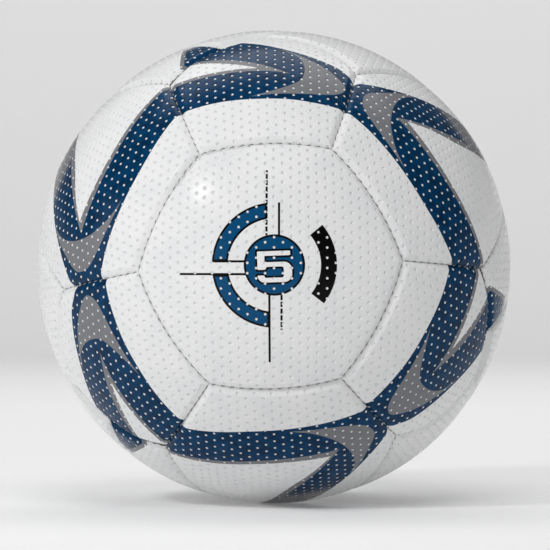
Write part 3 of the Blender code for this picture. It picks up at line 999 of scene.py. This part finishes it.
def give_finish(node_name, material):
    """A CAD node keeps its mesh and takes a material."""
    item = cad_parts[node_name]
    item.data.materials.clear()
    item.data.materials.append(material)


# Laminated cotton: the eye sees a coarse plain weave, paler on top of its threads.
WEAVE_STEP = 0.748 * MM
cloth, cloth_shader = new_finish("laminated_cotton_cloth", "#CFC6AE", 0.9)
cloth_place = add_node(cloth, "TexCoord", out="Object")
warp, weft = (
    add_node(
        cloth, "TexWave", {"Vector": cloth_place, "Scale": math.tau / (20.0 * WEAVE_STEP)}, out=1,
        bands_direction=axis)
    for axis in ("X", "Z")
)
weave = add_node(cloth, "Math", {0: warp, 1: weft}, out=0, operation="MULTIPLY")
cloth_color = add_node(
    cloth, "Mix", {0: weave, 6: linear("#B8AE94"), 7: linear("#DAD2BC")}, out=2, data_type="RGBA")
cloth.node_tree.links.new(cloth_color, cloth_shader.inputs["Base Color"])
cloth_bump = add_node(cloth, "Bump", {"Strength": 0.4, "Distance": 0.2 * MM, "Height": weave}, out=0)
cloth.node_tree.links.new(cloth_bump, cloth_shader.inputs["Normal"])
for node_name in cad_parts:
    if node_name.startswith("backing_"):
        give_finish(node_name, cloth)

# ---------------------------------------------------------------------------------------------
# Bladder: the air-tight inner ball, made by dipping a mould in latex and curing the skin. It hangs
# from the valve's flange and is held against the backing by the air alone.

# Dipped latex: smooth and black, with clouds of the powder that lets it off its mould.
POWDER_PATCH = 11.11 * MM
latex, latex_shader = new_finish("dipped_latex", "#1A1A1B", 0.5)
latex_place = add_node(latex, "TexCoord", out="Object")
powder = add_node(
    latex, "TexNoise", {"Vector": latex_place, "Scale": 1.0 / POWDER_PATCH, "Detail": 5.0}, out=0)
powder = add_node(latex, "MapRange", {0: powder, 1: 0.55, 2: 0.8}, out=0, interpolation_type=SMOOTH)
latex_color = add_node(
    latex, "Mix", {0: powder, 6: linear("#161617"), 7: linear("#3A3A3A")}, out=2, data_type="RGBA")
latex.node_tree.links.new(latex_color, latex_shader.inputs["Base Color"])
give_finish("bladder", latex)

# ---------------------------------------------------------------------------------------------
# Valve: a moulded rubber housing, glued to the bladder under the middle of the rear hexagon, and a
# softer plug pushed into it that closes on itself when the pump's needle comes out.

# Moulded butyl rubber, pale and dull with bloom, and a black soft rubber with a fine moulded grain.
for node_name, finish_name, base, patch, detail, dark, pale, roughness in (
    ("valve_housing", "moulded_butyl_rubber", "#D9D8D4", 1.111 * MM, 4.0, "#C9C8C2", "#E2E1DC", 0.55),
    ("valve_plug", "moulded_soft_rubber", "#242424", 0.8333 * MM, 3.0, "#1C1C1C", "#303030", 0.6),
):
    rubber, rubber_shader = new_finish(finish_name, base, roughness)
    rubber_place = add_node(rubber, "TexCoord", out="Object")
    bloom = add_node(
        rubber, "TexNoise", {"Vector": rubber_place, "Scale": 1.0 / patch, "Detail": detail}, out=0)
    rubber_color = add_node(
        rubber, "Mix", {0: bloom, 6: linear(dark), 7: linear(pale)}, out=2, data_type="RGBA")
    rubber.node_tree.links.new(rubber_color, rubber_shader.inputs["Base Color"])
    give_finish(node_name, rubber)

# ---------------------------------------------------------------------------------------------
# Studio: a round sweep of pale paper that curls up all round, so every side has a plain ground, and
# soft boxes from the upper left, with a small one that gives the highlight.

FLOOR_LEVEL = cad_box[0][2]
SWEEP_RADIUS = 3.0
SWEEP_CURL = 0.9
SWEEP_CURL_ANGLE = math.radians(80.0)
SWEEP_PINHOLE = 0.01
sweep_bm = bmesh.new()
inner_end = sweep_bm.verts.new((SWEEP_PINHOLE, 0.0, FLOOR_LEVEL))
outer_end = sweep_bm.verts.new((SWEEP_RADIUS, 0.0, FLOOR_LEVEL))
sweep_bm.edges.new((inner_end, outer_end))
bmesh.ops.spin(
    sweep_bm, geom=[outer_end], cent=(SWEEP_RADIUS, 0.0, FLOOR_LEVEL + SWEEP_CURL),
    axis=(0.0, -1.0, 0.0), angle=SWEEP_CURL_ANGLE, steps=16)
bmesh.ops.spin(
    sweep_bm, geom=sweep_bm.verts[:] + sweep_bm.edges[:], cent=(0.0, 0.0, 0.0), axis=(0.0, 0.0, 1.0),
    angle=math.tau, steps=96, use_merge=True)
pinhole = [edge for edge in sweep_bm.edges if edge.is_boundary and edge.calc_length() < SWEEP_PINHOLE]
bmesh.ops.holes_fill(sweep_bm, edges=pinhole)
bmesh.ops.recalc_face_normals(sweep_bm, faces=sweep_bm.faces[:])
for face in sweep_bm.faces:
    face.smooth = True
sweep_mesh = bpy.data.meshes.new("paper_sweep")
sweep_bm.to_mesh(sweep_mesh)
sweep_bm.free()
sweep = bpy.data.objects.new("paper_sweep", sweep_mesh)
bpy.context.scene.collection.objects.link(sweep)
paper, paper_shader = new_finish("matt_paper", "#F4F4F4", 0.9, Emission_Strength=0.1)
paper_shader.inputs["Emission Color"].default_value = linear("#FFFFFF")
sweep_mesh.materials.append(paper)


def add_light(name, place, target, size, power):
    """A square soft box that faces a target. Places and sizes are in metres, and power in watts."""
    data = bpy.data.lights.new(name, "AREA")
    data.shape = "SQUARE"
    data.size = size
    data.energy = power
    lamp = bpy.data.objects.new(name, data)
    lamp.location = Vector(place)
    lamp.rotation_euler = (Vector(place) - Vector(target)).to_track_quat("Z", "Y").to_euler()
    bpy.context.scene.collection.objects.link(lamp)


BALL = (0.0, 0.0, 0.0)
BACKGROUND = (0.0, 2.6, 0.1)
add_light("key", (-0.84, -1.03, 0.88), BALL, size=0.2, power=6.6)
add_light("side_box", (-1.11, -1.66, 0.06), BALL, size=0.7, power=1.8)
add_light("left_fill", (-2.15, -0.43, 0.32), BALL, size=1.2, power=5.6)
add_light("top", (0.1, -1.2, 1.65), BALL, size=1.0, power=12.5)
add_light("ground_light", (0.0, 1.3, 2.2), BACKGROUND, size=2.4, power=38.0)

WORLD_STRENGTH = 0.17
world = bpy.data.worlds.new("studio")
world.use_nodes = True
world.node_tree.nodes["Background"].inputs["Color"].default_value = linear("#FFFFFF")
world.node_tree.nodes["Background"].inputs["Strength"].default_value = WORLD_STRENGTH
bpy.context.scene.world = world

# The camera stands a little to the right of the ball's front, far enough back to show nearly half of
# it, and the ball fills a set share of the frame.
CAMERA_DISTANCE = 15.0 * BALL_RADIUS
CAMERA_TURN = math.radians(1.0)
CAMERA_RISE = math.radians(-0.15)
BALL_SHARE = 0.861
FRAME_SHIFT = (0.0018, -0.0149)
bpy.context.scene.view_settings.view_transform = "Standard"
camera_data = bpy.data.cameras.new("camera")
camera = bpy.data.objects.new("camera", camera_data)
toward_camera = Vector((math.sin(CAMERA_TURN), -math.cos(CAMERA_TURN), math.sin(CAMERA_RISE)))
camera.location = toward_camera * CAMERA_DISTANCE
camera.rotation_euler = camera.location.to_track_quat("Z", "Y").to_euler()
ball_angle = math.asin(BALL_RADIUS / CAMERA_DISTANCE)
camera_data.lens = camera_data.sensor_width * BALL_SHARE / (2.0 * math.tan(ball_angle))
camera_data.shift_x, camera_data.shift_y = FRAME_SHIFT
bpy.context.scene.collection.objects.link(camera)
bpy.context.scene.camera = camera
